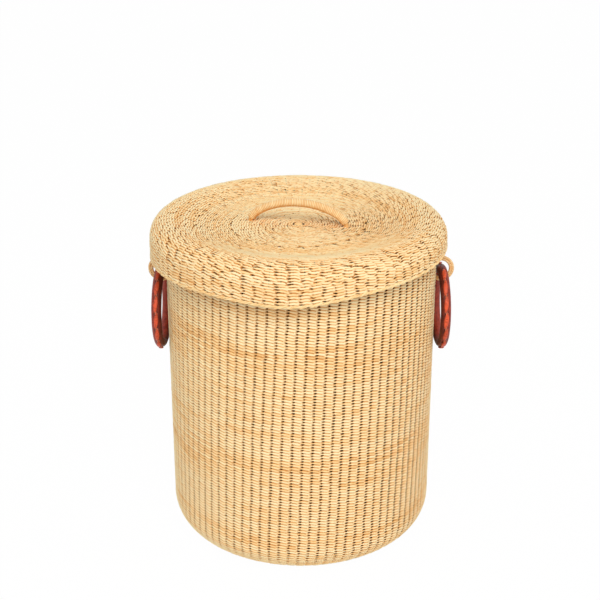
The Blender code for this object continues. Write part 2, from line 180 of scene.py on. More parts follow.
def linear(red, green, blue):
    """The linear colour of three screen values from 0 to 255."""
    screen = np.array([red, green, blue]) / 255
    low = screen / 12.92
    high = ((screen + 0.055) / 1.055) ** 2.4
    return tuple(float(value) for value in np.where(screen <= 0.04045, low, high))


def length_setting(name, description, default, low, high):
    """A size that a user may change, given here in millimetres."""
    return FloatProperty(
        name=name,
        description=description,
        default=default * MM,
        min=low * MM,
        max=high * MM,
        precision=4,
        subtype="DISTANCE",
        unit="LENGTH",
    )


def number_setting(name, description, default, low=0.0, high=1.0):
    """A number that a user may change. Its unit, where it has one, stands in its description."""
    return FloatProperty(name=name, description=description, default=default, min=low, max=high)


def count_setting(name, description, default, low, high, step=1):
    """A whole number that a user may change."""
    return IntProperty(name=name, description=description, default=default, min=low, max=high, step=step)


def colour_setting(name, description, default):
    """A colour that a user may change."""
    return FloatVectorProperty(
        name=name,
        description=description,
        default=default,
        min=0,
        max=1,
        size=3,
        subtype="COLOR",
    )


class WeaveSettings(bpy.types.PropertyGroup):
    """Sizes and colours of the twined straw."""

    row: length_setting("Row", "Height of one row of twining", 4.5, 2, 12)
    reach: length_setting("Reach", "How far a strand stands out over a stake", 1.2, 0.5, 5)
    rise: length_setting("Rise", "How far a strand climbs or falls within its row", 1.4, 0, 3)
    thick: length_setting("Strand thickness", "Half the thickness of a strand", 1.3, 0.4, 3)
    pinched: length_setting("Pinched", "Half a strand's width where two cross", 0.95, 0.4, 3)
    full: length_setting("Full", "Half a strand's width over a stake", 2.35, 0.4, 4)
    stake: length_setting("Stake", "Half the thickness of an upright stake", 1.2, 0.5, 3)
    tone: number_setting("Tone", "How pale the straw is", 0.62)
    waviness: length_setting("Waviness", "How far a row strays from its place", 0.9, 0, 3)
    stray: number_setting("Stray", "How far a stake strays sideways, in gaps", 0.16)
    lean: number_setting("Lean", "How far the wall's stakes lean, in radians a metre", 0.2, -1)
    eye: length_setting("Eye", "How far the rows part at the lid's foremost eye", 4.4, 0, 6)
    stakes: count_setting("Stakes", "Upright stakes round the wall, a multiple of 8", 88, 16, 160, 8)
    pale: colour_setting("Pale straw", "The palest straw", linear(255, 235, 186))
    straw: colour_setting("Straw", "Straw as most of it is", linear(253, 213, 150))
    gold: colour_setting("Golden straw", "Riper straw", linear(228, 172, 105))
    brown: colour_setting("Brown straw", "Weathered straw", linear(190, 135, 75))
    # Two colours of painted shade: amber for a strand's edges where it meets the next row, the gap colour
    # for the depths between strands and for the stakes
    amber: colour_setting("Edges", "A strand's edges, where it meets the next row", linear(216, 142, 66))
    gap: colour_setting("Gaps", "Straw deep between two rows", linear(40, 22, 9))


class HandleSettings(bpy.types.PropertyGroup):
    """Sizes and colours of the lid's wound handle and the side loops."""

    turns: count_setting("Turns", "Turns of straw round the lid's handle", 64, 10, 120)
    ridge: length_setting("Ridge", "How far each turn of straw stands out", 0.6, 0, 2)
    loop_turns: count_setting("Loop turns", "Turns of straw round each cord of a side loop", 54, 10, 120)
    pale: colour_setting("Pale winding", "Lightest straw of the windings", linear(255, 234, 184))
    gold: colour_setting("Golden winding", "Deepest straw of the windings", linear(228, 156, 74))


class RingSettings(bpy.types.PropertyGroup):
    """Sizes and colours of the leather ring handles."""

    stitches: count_setting("Stitches", "Stitches along the seam of a ring's sleeve", 15, 6, 60)
    stitch_width: length_setting("Stitch width", "Width of a stitch at its middle", 7, 1, 12)
    stitch_thick: length_setting("Stitch rise", "How far a stitch stands out", 1.8, 0.2, 4)
    sleeve: colour_setting("Sleeve", "Leather of the sleeve", linear(122, 32, 20))
    stitch: colour_setting("Stitches", "Leather of the stitches", linear(230, 90, 50))
    # The colour of creases in the leather, and of the painted shade in its hollows
    shade: colour_setting("Creases", "Leather in creases and holes", linear(44, 8, 5))
    raw: colour_setting("Cut edge", "Bare leather along a cut edge", linear(232, 190, 150))


class StageSettings(bpy.types.PropertyGroup):
    """The camera, the lamps and the floor."""

    distance: length_setting("Distance", "How far in front the camera stands", 1832.1, 500, 6000)
    height: length_setting("Height", "Height of the camera", 1117.1, 0, 4000)
    tilt: FloatProperty(
        name="Tilt",
        description="How far the camera looks down",
        default=float(np.radians(22.43)),
        subtype="ANGLE",
        unit="ROTATION",
    )
    lens: number_setting("Lens", "Focal length in millimetres", 79.06, 20, 300)
    key: number_setting("Main lamp", "Strength of the main lamp in watts", 72, 0, 1000)
    fill: number_setting("Side lamps", "Strength of the side lamps in watts", 5, 0, 1000)
    sky: number_setting("Room light", "Strength of the light from all round", 0.50, 0, 10)
    floor: colour_setting("Floor", "Colour of the floor", linear(250, 250, 250))


# Shader nodes written as plain arithmetic


class Wire:
    """A socket that takes part in arithmetic. Each operation adds one Math node to its recipe."""

    def __init__(self, recipe, socket):
        self.recipe = recipe
        self.socket = socket

    def __add__(self, other):
        return self.recipe.maths("ADD", self, other)

    def __sub__(self, other):
        return self.recipe.maths("SUBTRACT", self, other)

    def __rsub__(self, other):
        return self.recipe.maths("SUBTRACT", other, self)

    def __mul__(self, other):
        return self.recipe.maths("MULTIPLY", self, other)

    __radd__ = __add__
    __rmul__ = __mul__


class Recipe:
    """The node tree of one finish, or of the room, written as calls."""

    def __init__(self, owner):
        owner.use_nodes = True
        self.owner = owner
        self.tree = owner.node_tree
        self.tree.nodes.clear()

    def node(self, kind, settings, sockets, out=0):
        """Adds a node: its settings first, then a value or a link for each socket, by name or number."""
        made = self.tree.nodes.new(kind)
        for key, value in settings.items():
            if key == "stops":
                self.set_stops(made.color_ramp, value)
            else:
                setattr(made, key, value)
        for key, value in sockets.items():
            if isinstance(value, Wire):
                self.tree.links.new(value.socket, made.inputs[key])
            elif made.inputs[key].type == "RGBA":
                made.inputs[key].default_value = (*value, 1)
            else:
                made.inputs[key].default_value = value
        if made.outputs:
            return Wire(self, made.outputs[out])
        return made

    def set_stops(self, ramp, stops):
        """Gives a colour ramp these places and colours."""
        while len(ramp.elements) < len(stops):
            ramp.elements.new(1)
        for element, (place, colour) in zip(ramp.elements, stops):
            element.position = place
            element.color = (*colour, 1)

    def maths(self, operation, first, second, clamp=False):
        """One Math node on two values."""
        settings = {"operation": operation, "use_clamp": clamp}
        return self.node("ShaderNodeMath", settings, {0: first, 1: second})

    def limited(self, value):
        """The value held between 0 and 1."""
        return self.maths("ADD", value, 0, clamp=True)

    def reading(self, name, out="Fac"):
        """A value that the mesh carries."""
        return self.node("ShaderNodeAttribute", {"attribute_name": name}, {}, out)

    def scaled(self, vector, sizes):
        """A vector stretched along each axis."""
        return self.node("ShaderNodeVectorMath", {"operation": "MULTIPLY"}, {0: vector, 1: sizes})

    def noise(self, vector, scale, detail, rough):
        """Soft noise between 0 and 1."""
        sockets = {"Vector": vector, "Scale": scale, "Detail": detail, "Roughness": rough}
        return self.node("ShaderNodeTexNoise", {}, sockets)

    def between(self, value, low, high):
        """A smooth step from 0 to 1 as the value goes from low to high."""
        settings = {"interpolation_type": "SMOOTHSTEP"}
        return self.node("ShaderNodeMapRange", settings, {"Value": value, "From Min": low, "From Max": high})

    def mix(self, share, first, second):
        """Two colours mixed."""
        return self.node("ShaderNodeMix", {"data_type": "RGBA"}, {0: share, 6: first, 7: second}, 2)

    def bumped(self, height, distance, strength):
        """A surface direction bent by fine relief."""
        sockets = {"Height": height, "Distance": distance, "Strength": strength}
        return self.node("ShaderNodeBump", {}, sockets)

    def finished(self, shader, out="ShaderNodeOutputMaterial"):
        """Closes the tree with its output."""
        self.node(out, {}, {"Surface": shader})
        return self.owner

    def surface(self, colour, rough, normal, specular):
        """Closes the tree with a Principled shader and its output."""
        sockets = {"Base Color": colour, "Roughness": rough, "Normal": normal}
        sockets["Specular IOR Level"] = specular
        return self.finished(self.node("ShaderNodeBsdfPrincipled", {}, sockets))


# How fine each pattern is: across a strand twice and along it, in cycles a metre

FIBRES = (1700, 1700, 60)
FLECKS = (500, 500, 110)
CLOUDS = (14, 14, 30.8)
MOTTLE = 130
CREASES = 420
PEBBLES = 1500


def straw_finish(name, stops, amber, gap, rough):
    """Straw: a tone for each length of grass, streaks along it, clouds, and painted shade: amber edges and
    dark depths.
    """
    if name in bpy.data.materials:
        return bpy.data.materials[name]
    recipe = Recipe(bpy.data.materials.new(name))
    grain = recipe.reading("grain", "Vector")
    tint = recipe.reading("tint")
    deep = recipe.reading("deep")
    fibres = recipe.noise(recipe.scaled(grain, FIBRES), 1, 2, 0.6)
    flecks = recipe.noise(recipe.scaled(grain, FLECKS), 1, 2, 0.5)
    place = recipe.node("ShaderNodeTexCoord", {}, {}, "Object")
    clouds = recipe.noise(recipe.scaled(place, CLOUDS), 1, 3, 0.6)
    tone = tint + (fibres - 0.5) * 0.55 + (flecks - 0.5) * 0.35 + (clouds - 0.5) * 0.45
    straw = recipe.node("ShaderNodeValToRGB", {"stops": stops}, {"Fac": recipe.limited(tone)})
    # Painted shade: amber where deep is middling, the gap colour where it is high
    edged = recipe.mix(recipe.between(deep, 0.22, 0.5) * 0.85, straw, amber)
    shadow = recipe.between(deep, 0.62, 0.95)
    bump = recipe.bumped(fibres, 0.0003, 0.5)
    return recipe.surface(recipe.mix(shadow, edged, gap), 0.05 * fibres + rough + 0.25 * shadow, bump, 0.12)


def weave_finish():
    """The straw that the basket and the lid are twined from."""
    look = bpy.context.scene.basket_weave
    stops = [(0.0, look.brown), (0.25, look.gold), (0.55, look.straw), (1.0, look.pale)]
    return straw_finish("twined_straw", stops, look.amber, look.gap, 0.5)


def winding_finish():
    """The golden straw that the handle and the loops are wound with."""
    look = bpy.context.scene.basket_handle
    weave = bpy.context.scene.basket_weave
    stops = [(0.1, look.gold), (0.8, look.pale)]
    return straw_finish("wound_straw", stops, look.gold, weave.gap, 0.42)


def leather_finish():
    """Dyed leather: mottled, finely pebbled, darker in creases, with painted shade in its hollows, and bare
    along its cut edges.
    """
    name = "stitched_leather"
    if name in bpy.data.materials:
        return bpy.data.materials[name]
    look = bpy.context.scene.basket_rings
    recipe = Recipe(bpy.data.materials.new(name))
    place = recipe.node("ShaderNodeTexCoord", {}, {}, "Object")
    tint = recipe.reading("tint")
    deep = recipe.reading("deep")
    raw = recipe.reading("raw")
    mottle = recipe.noise(place, MOTTLE, 4, 0.6)
    creases = recipe.noise(place, CREASES, 3, 0.65)
    pebbles = recipe.noise(place, PEBBLES, 2, 0.5)
    dyed = recipe.mix(recipe.limited(tint + (mottle - 0.5) * 0.9), look.sleeve, look.stitch)
    worn = recipe.between(creases, 0.32, 0.5)
    darker = recipe.mix((1 - worn) * 0.5, dyed, look.shade)
    # Painted shade: deep turns the leather to the crease colour in grooves, round the stitches and on the
    # side towards the wall
    hollow = recipe.mix(recipe.limited(deep), darker, look.shade)
    colour = recipe.mix(raw, hollow, look.raw)
    bump = recipe.bumped(pebbles * 0.4 + creases + mottle, 0.0008, 0.5)
    return recipe.surface(colour, 0.42 + 0.25 * (1 - worn) + 0.3 * raw, bump, 0.35)


# Meshes from batches of tubes, each tube on its own strip of the map

STRIP_START = 0.12
STRIP_WIDTH = 0.76


def tube_mesh(name, batches):
    """One mesh from batches of tubes.

    A batch holds its points on a grid of tubes, stations and sides, whether the tubes are closed loops,
    and the values that each point carries. Each face joins two stations and two sides, and an open tube
    has a flat cap on each end. Each tube has its own strip of the map OFBake, with the stations along it
    and the sides across.
    """
    points = []
    corners = []
    sizes = []
    places = []
    base = 0
    strip = 0
    strips = sum(batch["points"].shape[0] for batch in batches)
    for batch in batches:
        tubes, stations, sides = batch["points"].shape[:3]
        points.append(batch["points"].reshape(-1, 3))
        steps = stations if batch["closed"] else stations - 1
        tube = np.arange(tubes)[:, None, None]
        station = np.arange(steps)[None, :, None]
        side = np.arange(sides)[None, None, :]
        station_of = np.stack([station, station + 1, station + 1, station], axis=-1)
        side_of = np.stack([side, side, side + 1, side + 1], axis=-1)
        index = base + (tube[..., None] * stations + station_of % stations) * sides + side_of % sides
        corners.append(index.reshape(-1))
        sizes.append(np.full(tubes * steps * sides, 4))
        across = (strip + tube[..., None] + STRIP_START + STRIP_WIDTH * side_of / sides) / strips
        places.append(np.stack(np.broadcast_arrays(station_of / steps, across), axis=-1).reshape(-1, 2))
        if not batch["closed"]:
            ends = np.arange(tubes)[:, None] * stations
            ring = np.arange(sides)[None]
            start = base + ends * sides + ring
            stop = base + (ends + stations - 1) * sides + ring[:, ::-1]
            corners.append(np.concatenate([start, stop]).reshape(-1))
            sizes.append(np.full(2 * tubes, sides))
            rows = (strip + np.arange(tubes)[:, None] + STRIP_START + STRIP_WIDTH * ring / sides) / strips
            start_place = np.stack([0 * rows, rows], axis=-1)
            stop_place = np.stack([1 + 0 * rows, rows[:, ::-1]], axis=-1)
            places.append(np.concatenate([start_place, stop_place]).reshape(-1, 2))
        base += tubes * stations * sides
        strip += tubes
    corners = np.concatenate(corners)
    sizes = np.concatenate(sizes)
    points = np.concatenate(points)
    mesh = bpy.data.meshes.new(name)
    mesh.vertices.add(len(points))
    mesh.vertices.foreach_set("co", points.astype(np.float32).ravel())
    mesh.loops.add(len(corners))
    mesh.loops.foreach_set("vertex_index", corners.astype(np.int32))
    mesh.polygons.add(len(sizes))
    mesh.polygons.foreach_set("loop_start", (np.cumsum(sizes) - sizes).astype(np.int32))
    mesh.update(calc_edges=True)
    baking = mesh.uv_layers.new(name="OFBake")
    baking.data.foreach_set("uv", np.concatenate(places).astype(np.float32).ravel())
    for key in batches[0]["values"]:
        flat = np.concatenate([batch["values"][key].ravel() for batch in batches])
        kind, entry = ("FLOAT_VECTOR", "vector") if key == "grain" else ("FLOAT", "value")
        mesh.attributes.new(key, kind, "POINT").data.foreach_set(entry, flat.astype(np.float32))
    mesh.validate()
    mesh.shade_smooth()
    return mesh


def make_piece(name, batches, body, finish, nodes):
    """Makes a piece from its batches of tubes, riding on its body and standing for its solids."""
    mesh = tube_mesh(name, batches)
    mesh.materials.append(finish)
    piece = bpy.data.objects.new(name, mesh)
    bpy.context.scene.collection.objects.link(piece)
    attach(piece, body)
    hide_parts(*nodes)


def ease(value, start, stop):
    """A smooth step from 0 to 1: at the share s of the way from start to stop it is s * s * (3 - 2 s)."""
    share = np.clip((value - start) / (stop - start), 0, 1)
    return share * share * (3 - 2 * share)


def unit(vectors):
    """Vectors of length one."""
    return vectors / np.linalg.norm(vectors, axis=-1, keepdims=True)


def full_turn(count):
    """Evenly spaced angles round a circle."""
    return 2 * pi * np.arange(count) / count


def turned(points, angle):
    """Points turned about the upright axis: (x, y) becomes (x cos - y sin, x sin + y cos)."""
    c, s = np.cos(angle), np.sin(angle)
    return points @ np.array([[c, s, 0], [-s, c, 0], [0, 0, 1]])


def tube(path, outward, half_out, half_side, sides, closed, **values):
    """A batch of tubes with an elliptical section along each path.

    The section's first axis is the part of outward that is square to the path, and its second is square
    to both. At side angle a a point is path + half_out * cos(a) * first + half_side * sin(a) * second.
    The half widths may change along the path and round it.
    """
    if closed:
        run = np.roll(path, -1, axis=1) - np.roll(path, 1, axis=1)
    else:
        run = np.gradient(path, axis=1)
    run = unit(run)
    first = unit(outward - run * np.sum(run * outward, axis=-1, keepdims=True))
    second = np.cross(first, run)
    side = full_turn(sides)
    half_out = np.broadcast_to(half_out, path.shape[:2] + (sides,))
    half_side = np.broadcast_to(half_side, path.shape[:2] + (sides,))
    over = half_out * np.cos(side)
    aside = half_side * np.sin(side)
    points = path[:, :, None] + over[..., None] * first[:, :, None]
    points = points + aside[..., None] * second[:, :, None]
    steps = np.linalg.norm(np.diff(path, axis=1), axis=-1)
    run_length = np.concatenate([np.zeros((len(path), 1)), np.cumsum(steps, axis=1)], axis=1)
    shape = points.shape[:3]
    grain = np.stack([over, aside, np.broadcast_to(run_length[..., None], shape)], axis=-1)
    carried = {key: np.broadcast_to(value, shape) for key, value in values.items()}
    return {"points": points, "closed": closed, "values": {"grain": grain, **carried}}


# The two turned surfaces that the rows follow. A shell is such a surface: its profile, 1 where the way along
# it leads up or -1 where it leads down, how its rows and its stakes stray, and where its axis stands in x

Shell = namedtuple("Shell", "profile facing drift lay x")


def basket_profile(along):
    """The middle of the basket's weave: flat from the centre, a quarter circle, then up and a little out.

    Returns the radius, the height and the slope at each distance along it from the centre.
    """
    bend = BASE_CORNER - WEAVE / 2
    turn = np.clip((along - wall_flat) / bend, 0, pi / 2)
    climb = np.maximum(along - wall_flat - bend * pi / 2, 0)
    taper = WALL_TAPER * climb / (wall_top - BASE_CORNER)
    radius = np.minimum(along, wall_flat) + bend * np.sin(turn) + taper
    height = WEAVE / 2 + bend * (1 - np.cos(turn)) + climb
    return radius, height, turn


def lid_profile(along):
    """The middle of the lid's weave: flat from the centre, up to the edge, a quarter circle, straight down.

    The middle lies LID_DISH lower than the edge's ridge and rises to it by a smooth step.
    """
    bend = LID_EDGE - WEAVE / 2
    turn = np.clip((along - lid_flat) / bend, 0, pi / 2)
    fall = np.maximum(along - lid_flat - bend * pi / 2, 0)
    radius = np.minimum(along, lid_flat) + bend * np.sin(turn)
    width = lid_flat - DISH_START
    share = np.clip((along - DISH_START) / width, 0, 1)
    dish = LID_DISH * (1 - ease(along, DISH_START, lid_flat))
    incline = np.arctan(6 * share * (1 - share) * LID_DISH / width)
    height = lid_top - WEAVE / 2 - dish - bend * (1 - np.cos(turn)) - fall
    return radius, height, incline - turn


basket_length = wall_flat + (BASE_CORNER - WEAVE / 2) * pi / 2 + wall_top - BASE_CORNER
lid_bend = lid_flat + (LID_EDGE - WEAVE / 2) * pi / 2
lid_length = lid_bend + lid_top - LID_EDGE - lid_bead_z - LID_BEAD / 2


def sway(angle, along, amount, seed):
    """Slow waves that push the rows up and down together.

    A sum of sine waves, each a whole number of times round, whose phases drift along the profile.
    """
    dice = np.random.default_rng(seed)
    total = 0
    for count in range(2, 12):
        phase, drift = dice.uniform(0, 2 * pi), dice.normal(0, 14)
        total = total + np.sin(count * angle + phase + drift * along) / count**0.6
    return amount * total / 2.2


def ring_of(angle, radius, height, x=0.0):
    """Points at these angles from the front towards the right, radii and heights."""
    return np.stack([x + radius * np.sin(angle), -radius * np.cos(angle), height], axis=-1)


def column(angle, along):
    """The stakes' angles, which stray a little along the way, so that no column is quite straight."""
    look = bpy.context.scene.basket_weave
    return angle + sway(angle, 0.35 * along, look.stray * 2 * pi / look.stakes, SEED + 2)


def leaning(angle, along):
    """The angles of the wall's stakes, which stray and lean as well, but not below where the wall begins."""
    look = bpy.context.scene.basket_weave
    climb = np.maximum(along - wall_flat, 0)
    middle = (basket_length - wall_flat) / 2
    return column(angle, along) + look.lean * (climb - middle)


def scallops(angle):
    """How far the skirt's edge dips: short waves of uneven height, and one droop at the front."""
    short = np.sin(SCALLOPS * angle + 1.5 * np.sin(3 * angle)) * (0.7 + 0.3 * np.sin(7 * angle + 1))
    droop = DROOP_DEPTH * np.exp((np.cos(angle + DROOP_TURN) - 1) / DROOP_WIDTH) - DROOP_MEAN
    return SCALLOP_DEPTH * short + droop


def lid_drift(along, angle):
    """The rows of the lid, moved from their places.

    Near the edge they end at the slanting edge, for the skirt is shallower at +X. Round the middle the
    rows part at small eyes, one at each angle where sin(EYES / 2 * angle) is 0. At the distance d from
    the ring of eyes the push is eye * sign(d) * exp(-(d / EYE_REACH)^2), less the further the angle is
    from an eye and from the front.
    """
    look = bpy.context.scene.basket_weave
    share = np.clip((along - LID_DRIFT_START) / (lid_length - LID_DRIFT_START), 0, 1)
    off = along - EYE_RING
    near = np.exp(-((np.sin(EYES / 2 * angle) / EYE_WIDTH) ** 2)) * (0.45 + 0.55 * np.cos(angle))
    part = look.eye * np.sign(off) * np.exp(-((off / EYE_REACH) ** 2)) * near
    return along - share * (SKIRT_RISE * np.sin(angle) - scallops(angle)) + part


def same_place(along, angle):
    """Rows that stay level."""
    return along + 0 * angle


def length_tones(dice, travel, shortest, longest):
    """A tone from 0 to 1 for each length of grass along the strands, whose lengths lie between these two."""
    start = dice.uniform(0, longest, travel.shape[:2] + (1,))
    number = np.floor((travel + start) / dice.uniform(shortest, longest, start.shape)).astype(int)
    tones = dice.beta(2.6, 1.8, travel.shape[:2] + (number.max() + 1,))
    return np.take_along_axis(tones, number, axis=2)


def twined(rows, pitch, stakes, shell, seed, flat=1.0):
    """Rows of two-strand twining over a turned surface, as a batch of closed tubes.

    Two strands follow each row, one stake apart, and t counts stakes along a strand. It comes out from
    between the stakes from t = -0.55 to -0.05, lies over the stake at t = 0.5 and dives from t = 0.64 to
    1.10, each by a smooth step. Meanwhile it falls from rise above the row's middle to rise below it, in
    a slight arch, and it is narrow at both ends, where the other strand crosses it. Behind the stakes it
    is level and as wide as in front. Flat below 1 makes the row flatter and its stitches longer. A point
    that lies aside from the row's middle takes its place on the profile at its own distance along it, so
    the strands wrap the bends.
    """
    look = bpy.context.scene.basket_weave
    dice = np.random.default_rng(seed)
    cycles = stakes // 2
    stage = np.tile(PASSES, cycles)
    own = stage + np.repeat(2 * np.arange(cycles), len(PASSES))
    shape = (len(rows), 2, len(own))

    def per_stitch(low, high):
        """A value between these two for each stitch, the same at all its cross sections."""
        chosen = dice.uniform(low, high, (len(rows), 2, cycles))
        return np.repeat(chosen, len(PASSES), axis=2)

    gap = 2 * pi / stakes
    tight = 1 - flat
    plain = (gap * (own - STITCH_SHIFT + np.arange(2)[:, None]))[None]
    angle = shell.lay(plain, rows[:, None, None]) + gap * per_stitch(-1, 1) * (0.06 + 0.45 * tight)
    where = shell.drift(rows[:, None, None], angle)
    where = where + sway(plain, rows[:, None, None], look.waviness, SEED)
    left = 1 - stage
    in_front = ease(left, *DIVE) - ease(left, *RETURN)
    hidden = ease(left, *HIDDEN)
    fall = 1 - np.clip(left / FALL, 0, 1)
    climb = (1 - 2 * fall + 0.25 * np.sin(pi * fall)) * (1 - hidden)
    narrow = 1 - ease(left, *(THIN_END - tight * np.array([0.1, 0.2])))
    narrow = narrow - 0.45 * (1 - ease(left, -0.10, 0.02))
    narrow = narrow + ease(left, *(THIN_START + tight * np.array([0.2, 0.12]))) * (1 - hidden)
    scale = (pitch / look.row)[:, None, None]
    depth = look.reach * flat * (2 * in_front - 1) + per_stitch(-0.15, 0.15) * MM * in_front
    height = scale * look.rise * climb + per_stitch(-0.12, 0.12) * MM
    half_width = look.full - (look.full - look.pinched) * narrow
    half_width = scale * half_width * per_stitch(0.92, 1.04)
    half_thick = look.thick * per_stitch(0.92, 1.05)

    share = np.clip(2 * in_front, 0, 1)
    share = np.stack([share, 1 - share], axis=1)
    over = half_thick[..., None] * (share @ SECTION_OUT)
    aside = half_width[..., None] * (share @ SECTION_SIDE)
    outward = depth[..., None] + over
    spot = where[..., None] + shell.facing * (height[..., None] + aside)
    radius, level, slope = shell.profile(spot)
    reach_r = radius + shell.facing * np.sin(slope) * outward
    reach_z = level - shell.facing * np.cos(slope) * outward
    points = ring_of(np.broadcast_to(angle, shape)[..., None], reach_r, reach_z, shell.x)

    travel = np.broadcast_to(own * gap, shape) * radius[..., 0]
    shared = length_tones(dice, travel[:, :1], 0.05, 0.20)
    single = length_tones(dice, travel, 0.10, 0.30)
    bands = np.interp(rows, np.linspace(0, TONE_REACH, TONE_BANDS), dice_walk(TONE_BANDS))[:, None, None]
    tint = look.tone + 0.55 * (shared - 0.5) + 0.35 * (single - 0.5) + 0.2 * (bands - 0.5)
    tint = tint + per_stitch(-0.06, 0.06)
    start = dice.uniform(0, 3, (len(rows), 2, 1))
    along = np.broadcast_to((travel + start)[..., None], outward.shape)
    # Painted shade in the recesses: the further a point lies in below the front, the darker, but pale again
    # on the strands' backs that show from inside the basket
    inside = -look.reach * flat - 0.8 * half_thick[..., None]
    dark = np.clip((0.8 * MM * flat - outward) / (1.4 * MM), 0, 1)
    dark = dark * np.clip((outward - inside) / (0.9 * MM), 0, 1)
    strands = (-1, len(own), SECTION_OUT.shape[1])
    # The tint adds each side's painted highlight or painted shade, and deep takes the section's painted
    # shade or that of the recesses, whichever is more
    values = {
        "grain": np.stack([over, aside, along], axis=-1).reshape(strands + (3,)),
        "tint": (tint[..., None] + share @ SECTION_PAINTED_LIGHT).reshape(strands),
        "deep": np.maximum(share @ SECTION_PAINTED_SHADE, dark).reshape(strands),
    }
    return {"points": points.reshape(strands + (3,)), "closed": True, "values": values}


def dice_walk(count):
    """Slowly changing numbers between 0 and 1, for bands of paler and riper rows."""
    dice = np.random.default_rng(SEED + 1)
    raw = dice.normal(0, 1, count + 8)
    smooth = np.convolve(raw, np.ones(4) / 2, "same")[4:-4]
    return 0.5 + 0.5 * np.tanh(smooth)


def stake_batch(angles, start, stop, shell, seed):
    """Upright stakes at these angles, which follow the middle of the weave from start to stop."""
    look = bpy.context.scene.basket_weave
    dice = np.random.default_rng(seed)
    share = np.linspace(0, 1, STAKE_STEPS)
    along = start + (stop - start) * share + 0 * angles[:, None]
    angle = shell.lay(angles[:, None] + 0 * share, along)
    radius, level, slope = shell.profile(shell.drift(along, angle))
    path = ring_of(angle, radius, level, shell.x)
    out = ring_of(angle, shell.facing * np.sin(slope), -shell.facing * np.cos(slope))
    tint = dice.uniform(0.1, 0.5, (len(angles), 1, 1))
    half = np.full(radius.shape + (1,), look.stake)
    # deep 1.0 paints the stakes in the gap colour all over: painted shade, so the holes between the rows
    # look dark
    return tube(path, out, half, half, STAKE_SIDES, False, tint=tint, deep=1.0)


def button(height, facing, x):
    """The small crossing of stakes at the very centre, as a flat closed dome."""
    share = np.linspace(-1, 1, 7)
    path = np.stack([x + 0 * share, 0 * share, height + facing * WEAVE * 0.46 * share], axis=-1)[None]
    half = BUTTON * np.sqrt(1.02 - share**2)[None, :, None]
    return tube(path, np.array([0.0, -1.0, 0.0]), half, half, 16, False, tint=0.5, deep=0.1)


def zones():
    """Where each ring of stakes starts, and its even number of stakes: more and more towards the edge."""
    share = bpy.context.scene.basket_weave.stakes / ZONES[-1][1]
    return [(start * MM, 2 * int(round(share * count / 2))) for start, count in ZONES]


def spaced(start, stop, pitch):
    """Rows between two distances along a profile: where the middle of each lies, and how high each is."""
    count = max(int(round((stop - start) / pitch)), 1)
    step = (stop - start) / count
    return start + (np.arange(count) + 0.5) * step, np.full(count, step)


def weave_batches(rows, pitch, shell, seed, flat=1.0):
    """Twining on rows that may cross several zones, each row on the stakes of its own zone."""
    batches = []
    zone = zones()
    ends = [start for start, _ in zone[1:]] + [np.inf]
    for number, ((start, count), end) in enumerate(zip(zone, ends)):
        chosen = (rows >= start) & (rows < end)
        if chosen.any():
            batches.append(twined(rows[chosen], pitch[chosen], count, shell, seed + number, flat))
    return batches


def stakes_piece(name, shell, stop, body, nodes, seed):
    """All the stakes of one shell: those of each zone run on to the next, the last ones to the end."""
    zone = zones()
    ends = [start for start, _ in zone[1:]] + [stop]
    batches = []
    for number, ((start, count), end) in enumerate(zip(zone, ends)):
        angles = (np.arange(count) + 0.5) * 2 * pi / count
        over = 0 if number == len(zone) - 1 else 4 * MM
        batches.append(stake_batch(angles, start - 2 * MM, end + over, shell, seed + number))
    make_piece(name, batches, body, weave_finish(), nodes)


def rope(ring, height, slope, wave, x, bead, strands, turns, seed):
    """A rolled border: strands laid round each other along a ring that may slant.

    Strand k runs round the bead's middle at the angle turns * a + 2 pi k / strands, where a is the angle
    round the basket, and its height follows slope times the distance towards +X, and the skirt's edge
    where wave is 1.
    """
    steps = 12
    sides = 8
    dice = np.random.default_rng(seed)
    angle = np.broadcast_to(full_turn(turns * steps), (strands, turns * steps))
    lay = turns * angle + full_turn(strands)[:, None]
    strand = bead * 0.52
    offset = bead - strand
    radius = ring + offset * np.cos(lay)
    level = height + offset * np.sin(lay) + slope * radius * np.sin(angle) - wave * scallops(angle)
    away = ring_of(angle, np.cos(lay), np.sin(lay))
    tint = 0.5 + 0.3 * dice.random((strands, turns)).repeat(steps, axis=1)[..., None]
    # Painted shade on the side of each strand that lies in against the others
    deep = 0.9 * np.clip(0.3 - np.cos(full_turn(sides)), 0, 1)
    path = ring_of(angle, radius, level, x)
    return tube(path, away, strand, strand * 1.1, sides, True, tint=tint, deep=deep)


class BASKET_OT_wall(bpy.types.Operator):
    """Weave the basket's base, corner and wall in bands of rows, and set the stakes that they go round"""

    bl_idname = "basket.wall"
    bl_label = "Weave the basket"

    def execute(self, context):
        look = context.scene.basket_weave
        finish = weave_finish()
        shell = Shell(basket_profile, 1, same_place, leaning, 0.0)
        batches = weave_batches(*spaced(FIRST_ROW, wall_flat, 5 * MM), shell, SEED)
        batches.append(button(basket_profile(np.array(0.0))[1], -1, 0.0))
        make_piece("base_rows", batches, "basket", finish, ["base_weave"])
        rows, pitch = spaced(wall_flat, basket_length, look.row)
        bands = int(np.ceil(len(rows) / BAND_ROWS))
        for number, band in enumerate(np.array_split(np.arange(len(rows)), bands)):
            name = f"wall_rows_{number + 1}"
            batches = weave_batches(rows[band], pitch[band], shell, SEED + 10 * (number + 1))
            make_piece(name, batches, "basket", finish, ["wall_weave"])
        nodes = ["base_weave", "wall_weave"]
        stakes_piece("basket_stakes", shell, basket_length, "basket", nodes, SEED + 3)
        return {"FINISHED"}


class BASKET_OT_rim(bpy.types.Operator):
    """Roll the border on the basket's rim"""

    bl_idname = "basket.rim"
    bl_label = "Roll the rim"

    def execute(self, context):
        batch = rope(rim_ring, rim_bead_z, 0.0, 0, 0.0, rim_bead, 3, 30, SEED + 4)
        make_piece("rim_rope", [batch], "basket", weave_finish(), ["rim_border"])
        return {"FINISHED"}


